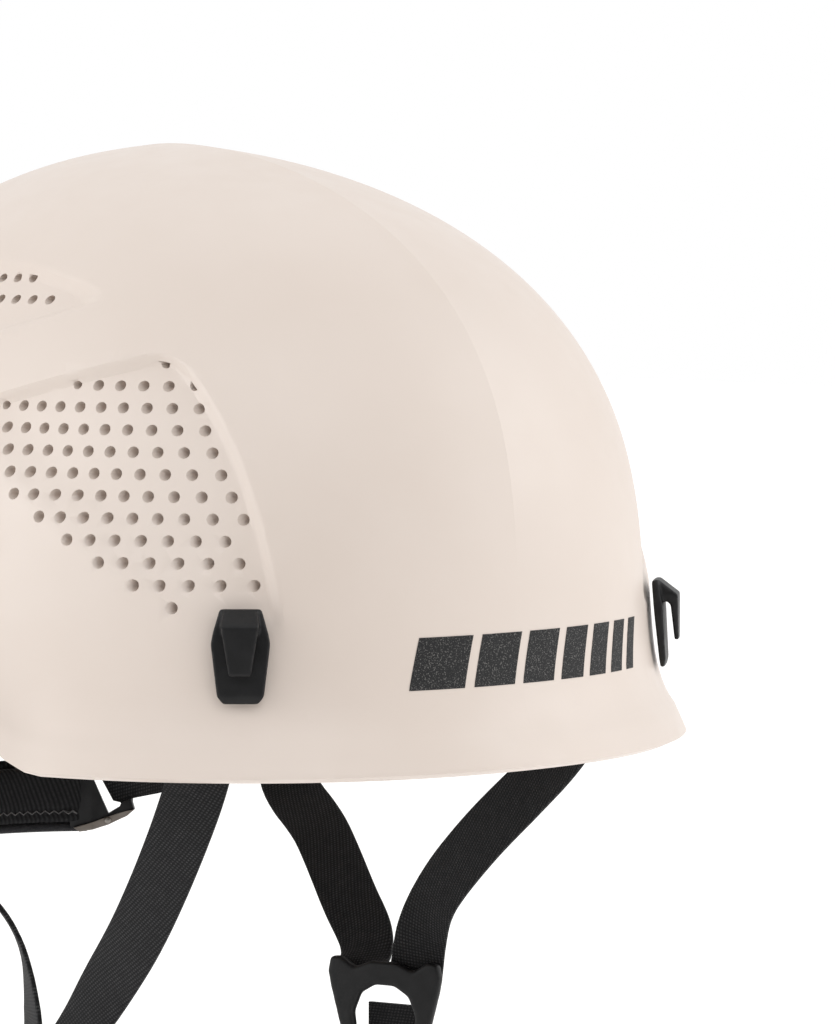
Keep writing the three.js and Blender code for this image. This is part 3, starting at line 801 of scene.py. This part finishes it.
def makePrint():
    bm = bmesh.new()
    left = printForm["left"]
    for width in printForm["widths"]:
        made = bmesh.ops.create_grid(bm, x_segments=8, y_segments=8, size=0.5)
        for vert in made["verts"]:
            across, up = vert.co.x + 0.5, vert.co.y + 0.5
            z = printForm["foot"] + printForm["height"] * up
            x = left + width * across + printForm["slant"] * up
            theta = domeAt(0, x, z, -printForm["bearing"], printForm["bearing"])
            spot = domePoint(theta, z)
            vert.co = spot + domeNormal(theta, z) * (printForm["proud"] + creaseAt(spot))
        left += width + printForm["gap"]
    bmesh.ops.recalc_face_normals(bm, faces=bm.faces)
    bmesh.ops.solidify(bm, geom=bm.faces, thickness=printForm["thick"])
    addPiece(bm, "front_print", [ink], "helmet")


makePrint()
print("print done")


# Moulded plastic: each CAD node's own shape with its triangles merged and its edges rounded
mouldingForm = {
    "flat": 1.5, "sharp": 24, "corner": 8,           # degrees: faces merged, edges rounded, outline corners
    "merge": 0.25, "sliver": 0.01,                   # millimetres
    "cornerRadius": 1.5, "alongOutward": 0.8,        # as shares of the radius and of the edge's own length
}


def makeMoulding(node, material, radius, segments=3, outward=None, name=None):
    bm = nodeCopy(node)
    bmesh.ops.dissolve_limit(bm, angle_limit=math.radians(mouldingForm["flat"]), verts=bm.verts,
                             edges=bm.edges)
    bmesh.ops.remove_doubles(bm, verts=bm.verts, dist=mouldingForm["merge"])
    bmesh.ops.dissolve_degenerate(bm, edges=bm.edges, dist=mouldingForm["sliver"])
    if outward:                   # the outline's own corners are rounded more than the rest
        corners = [e for e in edgesOver(bm, mouldingForm["corner"])
                   if abs((e.verts[0].co - e.verts[1].co).normalized().dot(outward))
                   > mouldingForm["alongOutward"]]
        roundEdges(bm, corners, mouldingForm["cornerRadius"] * radius)
    roundEdges(bm, edgesOver(bm, mouldingForm["sharp"]), radius, segments)
    return addPiece(bm, name or node + "_moulded", [material], bodyOf(node), [node], sharpAngle=30)


def soften(piece, voxel, passes):           # rounds every edge of a moulding a little
    voxelRemesh(piece, voxel)
    bm = bmesh.new()
    bm.from_mesh(piece.data)
    relax(bm, passes)
    bm.to_mesh(piece.data)
    bm.free()
    piece.data.shade_smooth()


softened = {"headlamp_clip_": (0.33, 6), "strap_divider_": (0.4, 6)}       # voxel in millimetres, passes
mouldings = {          # start of the node's name: edge radius in millimetres
    "headlamp_clip_": 0.7, "anchor_": 0.6, "headband_hanger_": 0.35, "nape_stud_": 0.4,
    "strap_divider_": 0.8, "chin_buckle_": 0.6, "buckle_prong_": 0.4,
}
for node in sorted(nodes):
    for start, radius in mouldings.items():
        if node.startswith(start):
            low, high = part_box(node)
            middle = (low + high) / 2 / mm
            outward = domeNormal(bearing(middle), middle.z) if start == "headlamp_clip_" else None
            piece = makeMoulding(node, nylon, radius, outward=outward)
            if start in softened:
                soften(piece, *softened[start])
print("mouldings done")


# Webbing: strips along the CAD straps' own rings
def ribbonRings(node, width, thick):
    bm = nodeCopy(node)
    spans = {e for e in bm.edges if min(abs(e.calc_length() - width), abs(e.calc_length() - thick)) < 0.01}
    ringOf = {}
    rings = []
    for start in bm.verts:
        if start in ringOf:
            continue
        ring, queue = [], [start]
        while queue:
            vert = queue.pop()
            if vert in ringOf:
                continue
            ringOf[vert] = len(rings)
            ring.append(vert)
            queue += [e.other_vert(vert) for e in vert.link_edges if e in spans]
        rings.append(ring)
    assert all(len(ring) == 4 for ring in rings), node + ": a ring isn't four corners"
    nextTo = {k: set() for k in range(len(rings))}
    for edge in bm.edges:
        a, b = (ringOf[v] for v in edge.verts)
        if a != b:
            nextTo[a].add(b)
            nextTo[b].add(a)
    order = [min(k for k in nextTo if len(nextTo[k]) == 1)]
    while len(order) < len(rings):
        order.append(next(k for k in nextTo[order[-1]] if k not in order))
    stations = []
    for k in order:
        points = [v.co.copy() for v in rings[k]]
        first = points[0]
        others = sorted(points[1:], key=lambda p: (p - first).length)
        face, across = (others[0] - first).normalized(), (others[1] - first).normalized()
        centre = sum(points, Vector()) / 4
        if stations:
            face *= 1 if face.dot(stations[-1][2]) > 0 else -1
            across *= 1 if across.dot(stations[-1][1]) > 0 else -1
        elif face.dot(Vector((centre.x, centre.y, 0.4 * centre.z))) < 0:
            face.negate()
        stations.append((centre, across, face))
    bm.free()
    return stations


def stationAt(stations, place):      # a smooth curve through the rings; place runs from 0 to the last ring
    k = min(max(int(place), 0), len(stations) - 2)
    t = place - k
    a, b = stations[k], stations[k + 1]
    before = stations[max(k - 1, 0)][0]
    after = stations[min(k + 2, len(stations) - 1)][0]
    slopeA, slopeB = (b[0] - before) / 2, (after - a[0]) / 2
    h = (2 * t ** 3 - 3 * t ** 2 + 1, t ** 3 - 2 * t ** 2 + t, -2 * t ** 3 + 3 * t ** 2, t ** 3 - t ** 2)
    centre = a[0] * h[0] + slopeA * h[1] + b[0] * h[2] + slopeB * h[3]
    return centre, a[1].lerp(b[1], t).normalized(), a[2].lerp(b[2], t).normalized()


def stripProfile(width, thick):      # a flat strip's section, with rounded edges and a slight crown
    half, deep = width / 2, thick / 2
    flats = [half * s for s in (-0.93, -0.86, -0.6, -0.3, 0, 0.3, 0.6, 0.86, 0.93)]
    top = [(x, deep * (1 - 0.22 * abs(x / half) ** 6)) for x in flats]
    right = [(half - stripRound, deep * 0.55), (half, 0), (half - stripRound, -deep * 0.55)]
    bottom = [(x, -y) for x, y in reversed(top)]
    left = [(-x, -y) for x, y in right]
    return top + right + bottom + left


def makeStrip(bm, stations, profile, perRing=3):
    uv = bm.loops.layers.uv.get("weave") or bm.loops.layers.uv.new("weave")
    steps = (len(stations) - 1) * perRing
    around = len(profile)
    made = bmesh.ops.create_grid(bm, x_segments=steps, y_segments=around, size=0.5, calc_uvs=True)
    spots = [stationAt(stations, k / perRing) for k in range(steps + 1)]
    lengths = [0]
    for a, b in zip(spots, spots[1:]):
        lengths.append(lengths[-1] + (b[0] - a[0]).length)
    verts = made["verts"]
    where = {v: (round((v.co.x + 0.5) * steps), round((v.co.y + 0.5) * around)) for v in verts}
    for face in {f for v in verts for f in v.link_faces}:
        for loop in face.loops:
            i, j = where[loop.vert]
            loop[uv].uv = (lengths[i], profile[j % around][0])
    for vert, (i, j) in where.items():
        centre, across, face = spots[i]
        x, y = profile[j % around]
        vert.co = centre + across * x + face * y
    bmesh.ops.remove_doubles(bm, verts=verts, dist=0.001)
    return spots, lengths


def closeEnds(bm):
    bmesh.ops.holes_fill(bm, edges=[e for e in bm.edges if e.is_boundary], sides=0)
    bmesh.ops.recalc_face_normals(bm, faces=bm.faces)


strapWidth, strapThick = 16, 1.5
stripRound = 0.054          # how far a strip's rounded edge stands out, in millimetres
straps = ["crown_strap_diagonal_a", "crown_strap_diagonal_b", "crown_strap_side",
          "front_strap_right", "front_strap_left", "rear_strap_right", "rear_strap_left",
          "lower_strap_right", "lower_strap_left", "strap_tail"]
strapRings = {node: ribbonRings(node, strapWidth, strapThick) for node in straps}


def makeStrap(node):
    bm = bmesh.new()
    makeStrip(bm, strapRings[node], stripProfile(strapWidth, strapThick))
    closeEnds(bm)
    blended = node.startswith("lower_strap")
    return addPiece(bm, node + "_woven", [webbing], None if blended else bodyOf(node), [node], 50)


for node in straps:
    strap = makeStrap(node)
    if node.startswith("lower_strap"):
        low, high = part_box(node)
        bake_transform(strap)
print("straps done")


# A moulding with a flat map: along and across are the shares of Y and Z in the map's two directions
def makeWovenMoulding(node, material, along, across):
    piece = makeMoulding(node, material, radius=0.3, segments=2, name=node + "_woven")
    uv = piece.data.uv_layers.new(name="weave")
    for loop in piece.data.loops:
        place = piece.data.vertices[loop.vertex_index].co.yz / mm
        uv.data[loop.index].uv = (place.dot(Vector(along)), place.dot(Vector(across)))


for node, width, thick, material, slot in (
        ("headband", 24, 2, nylon, "black_plastic"),
        ("nape_band", 20, 2.4, ribbedBand, "band_textile")):
    bm = bmesh.new()
    makeStrip(bm, ribbonRings(node, width, thick), stripProfile(width, thick))
    closeEnds(bm)
    addPiece(bm, node + "_strip", [material], bodyOf(node), [node], 50)

for side in ("right", "left"):
    makeWovenMoulding("nape_arm_" + side, webbing, (1.1, 0), (0, 1))
makeWovenMoulding("strap_keeper", elastic, (0, 1.2), (1, 0))


# Pads: a fine cloth skin blown up a little, then pressed in along its sewn channels
padForm = {
    "shrink": 0.35, "voxel": 1.5, "pressure": 4, "vertexMass": 0.0005, "frames": 20, "cap": 1.1,
    "relaxed": 2, "channelDepth": 0.9, "channelWidth": 1.1,
}


def blowUp(piece):          # air pressure swells the skin, and no point moves further than the cap
    cloth = piece.modifiers.new("cloth", "CLOTH")
    cloth.settings.mass = padForm["vertexMass"]
    cloth.settings.use_pressure = True
    cloth.settings.uniform_pressure_force = padForm["pressure"]
    cloth.settings.effector_weights.gravity = 0
    cloth.point_cache.frame_end = padForm["frames"]
    scene = bpy.context.scene
    for frameNumber in range(1, padForm["frames"] + 1):
        scene.frame_set(frameNumber)
    shown = piece.evaluated_get(bpy.context.evaluated_depsgraph_get())
    ends = [vert.co.copy() for vert in shown.data.vertices]
    piece.modifiers.clear()
    scene.frame_set(1)
    furthest = 0
    for vert, end in zip(piece.data.vertices, ends):
        move = end - vert.co
        furthest = max(furthest, move.length / mm)
        vert.co += move * min(1, padForm["cap"] * mm / max(move.length, 1e-9))
    return furthest


def pressChannels(bm, channels):         # each channel is a plane: a normal and a distance from the origin
    bm.normal_update()
    moves = {}
    for vert in bm.verts:
        near = min(abs(normal.dot(vert.co) - distance) for normal, distance in channels)
        press = padForm["channelDepth"] * math.exp(-(near / padForm["channelWidth"]) ** 2)
        moves[vert] = vert.normal * -press
    for vert, move in moves.items():
        vert.co += move


def makePad(node, material, channels):
    bm = nodeCopy(node)
    bmesh.ops.recalc_face_normals(bm, faces=bm.faces)
    bm.normal_update()
    for vert, normal in [(vert, vert.normal.copy()) for vert in bm.verts]:
        vert.co -= normal * padForm["shrink"]
    piece = addPiece(bm, node + "_soft", [material], bodyOf(node), [node], 180)
    voxelRemesh(piece, padForm["voxel"])
    furthest = blowUp(piece)
    bm = bmesh.new()
    bm.from_mesh(piece.data)
    bmesh.ops.scale(bm, vec=(1000, 1000, 1000), verts=bm.verts)
    relax(bm, padForm["relaxed"])
    pressChannels(bm, channels)
    bmesh.ops.scale(bm, vec=(mm, mm, mm), verts=bm.verts)
    bm.to_mesh(piece.data)
    bm.free()
    piece.data.shade_smooth()
    rounder = piece.modifiers.new("rounder", "SUBSURF")
    rounder.levels = rounder.render_levels = 1
    bakeModifiers(piece)
    print(node, len(piece.data.polygons), "faces, furthest move", round(furthest, 2), "mm")
    return piece


def uprights(values):
    return [(Vector((1, 0, 0)), value) for value in values]


makePad("crown_pad", knit, uprights((-7, 7)))
makePad("brow_pad", knit, uprights((-45, -27, -9, 9, 27, 45)))
napePad = makePad("nape_pad", ribs, [(Vector((0, 0, 1)), -38.2)])


# Nape fittings: a bent plate with a pale lower edge, the arm's webbing, a rivet, piping and a zigzag seam
napeForm = {
    "length": 106, "width": 80, "lean": (0.62, 0.1),       # how plates further in are moved along and up
    "plate": [(36.5, -23), (41, -24), (41.9, -28.6), (45.4, -39.2), (47.9, -37.1), (48.2, -36), (50.2, -35),
              (50.8, -37.9), (49.4, -39.6), (45.4, -42.2), (42, -43.6), (38.85, -44.2), (37.4, -43.5),
              (36.5, -42.6)],
    "plateInset": 3.2, "plateThick": 2.2, "plateRound": 0.35, "bends": range(38, 60, 2),
    "edge": [(37.4, -43.3), (38.85, -44.4), (42, -43.8), (45.4, -42.4), (49.4, -39.8), (50.9, -37.9),
             (48, -38.9), (45, -40.3), (41.5, -41.9)],
    "edgeInset": 4.1, "edgeThick": 2.2,
    "webbing": [(42.6, -21.5), (43.6, -28.6), (46.4, -35.6), (47.9, -36.1), (48.6, -37.3), (50.4, -36.6),
                (50.4, -34.9), (55.4, -33.3), (59.5, -31.5), (59.5, -21.5)],
    "webbingInset": 0.6, "webbingThick": 1.5,
    "rivet": (45.2, -41.3), "rivetRadii": (0.85, 1.15), "rivetHeight": 0.9, "rivetRound": 0.25,
    "pipingEnd": 38, "pipingStep": 2, "pipingRise": -42.9, "pipingInset": 4, "pipingRadius": 1.25,
    "seamRise": -38.2, "seamStep": 1, "seamSwing": 0.45, "seamEnd": 34, "threadRadius": 0.2,
    "seamLift": 0.1, "seenFrom": 16, "padInset": 7,        # a ray starts at the first inset
}


def napeSpot(x, z, inset):
    along, across = napeForm["length"] - inset, napeForm["width"] - inset
    return Vector((x, along * math.sqrt(1 - (x / across) ** 2), z))


def napeNormal(x):
    return Vector((x / napeForm["width"] ** 2, napeSpot(x, 0, 0).y / napeForm["length"] ** 2, 0)).normalized()


def bentPlate(outline, side, inset, thick):
    bm = bmesh.new()
    made = bmesh.ops.create_circle(bm, cap_ends=True, segments=len(outline), radius=1)
    for vert, (x, z) in zip(made["verts"], outline):
        vert.co = Vector((x, 0, z))
    for x in napeForm["bends"]:
        bmesh.ops.bisect_plane(bm, geom=everything(bm), plane_co=(x, 0, 0), plane_no=(1, 0, 0))
    for vert in bm.verts:
        x = vert.co.x - napeForm["lean"][0] * inset
        vert.co = napeSpot(side * x, vert.co.z + napeForm["lean"][1] * inset, inset)
    bmesh.ops.recalc_face_normals(bm, faces=bm.faces)
    bmesh.ops.solidify(bm, geom=bm.faces, thickness=thick)
    bmesh.ops.recalc_face_normals(bm, faces=bm.faces)
    roundEdges(bm, edgesOver(bm, 50), napeForm["plateRound"], 2)
    return bm


def weaveMap(bm):            # a flat map in millimetres: round the nape across, height up
    uv = bm.loops.layers.uv.new("weave")
    for face in bm.faces:
        for loop in face.loops:
            place = loop.vert.co
            loop[uv].uv = (math.atan2(place.y, place.x) * napeForm["length"], place.z)


def makeTube(name, points, radius, material, body):
    curve = bpy.data.curves.new(name, "CURVE")
    curve.dimensions = "3D"
    curve.bevel_depth = radius * mm
    curve.bevel_resolution = 2
    curve.use_fill_caps = True
    spline = curve.splines.new("POLY")
    spline.points.add(len(points) - 1)
    for spot, point in zip(spline.points, points):
        spot.co = (*(point * mm), 1)
    drawn = link(bpy.data.objects.new(name + "_curve", curve))
    mesh = bpy.data.meshes.new_from_object(drawn.evaluated_get(bpy.context.evaluated_depsgraph_get()))
    bpy.data.objects.remove(drawn)
    bm = bmesh.new()
    bm.from_mesh(mesh)
    bmesh.ops.remove_doubles(bm, verts=bm.verts, dist=0.002 * mm)
    bmesh.ops.recalc_face_normals(bm, faces=bm.faces)
    bm.to_mesh(mesh)
    bm.free()
    mesh.materials.clear()
    mesh.materials.append(material)
    mesh.shade_smooth()
    tube = link(bpy.data.objects.new(name, mesh))
    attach(tube, body)


def innerFace(piece, x, z):          # where the pad's inner face is, in millimetres
    start, outward = napeSpot(x, z, napeForm["seenFrom"]), napeNormal(x)
    found, place, _, _ = piece.ray_cast(start * mm, outward)
    return place / mm if found else napeSpot(x, z, napeForm["padInset"])


for name, side in (("right", -1), ("left", 1)):
    plate = bentPlate(napeForm["plate"], side, napeForm["plateInset"], napeForm["plateThick"])
    addPiece(plate, "nape_buckle_plate_" + name, [nylon], "nape_support",
             ["nape_buckle_" + name], 30)
    edge = bentPlate(napeForm["edge"], side, napeForm["edgeInset"], napeForm["edgeThick"])
    addPiece(edge, "nape_buckle_edge_" + name, [greyNylon], "nape_support", (), 30)
    strap = bentPlate(napeForm["webbing"], side, napeForm["webbingInset"], napeForm["webbingThick"])
    weaveMap(strap)
    addPiece(strap, "nape_webbing_" + name, [webbing], "nape_support", (), 50)
    bm = bmesh.new()
    x, z = napeForm["rivet"]
    normal = napeNormal(side * x)
    deep = napeForm["edgeInset"] + napeForm["edgeThick"]
    place = napeSpot(side * (x - napeForm["lean"][0] * deep), z + napeForm["lean"][1] * deep, deep)
    turn = normal.to_track_quat("Z", "Y").to_matrix().to_4x4()
    foot, head = napeForm["rivetRadii"]
    bmesh.ops.create_cone(bm, cap_ends=True, segments=24, radius1=foot, radius2=head,
                          depth=napeForm["rivetHeight"], matrix=Matrix.Translation(place) @ turn)
    bmesh.ops.bevel(bm, geom=edgesOver(bm, 50), offset=napeForm["rivetRound"], affect="EDGES", segments=3,
                    profile=0.5, material=-1)
    addPiece(bm, "nape_rivet_head_" + name, [steel], "nape_support",
             ["nape_rivet_" + name], 40)

piping = [napeSpot(x, napeForm["pipingRise"], napeForm["pipingInset"])
          for x in range(-napeForm["pipingEnd"], napeForm["pipingEnd"] + 1, napeForm["pipingStep"])]
makeTube("nape_piping", piping, napeForm["pipingRadius"], knit, "nape_support")
seam = []
steps = int(2 * napeForm["seamEnd"] / napeForm["seamStep"])
for k in range(steps + 1):
    x = -napeForm["seamEnd"] + k * napeForm["seamStep"]
    z = napeForm["seamRise"] + napeForm["seamSwing"] * (1 if k % 2 else -1)
    seam.append(innerFace(napePad, x, z) - napeNormal(x) * napeForm["seamLift"])
makeTube("nape_zigzag_seam", seam, napeForm["threadRadius"], thread, "nape_support")
print("pads and nape fittings done")
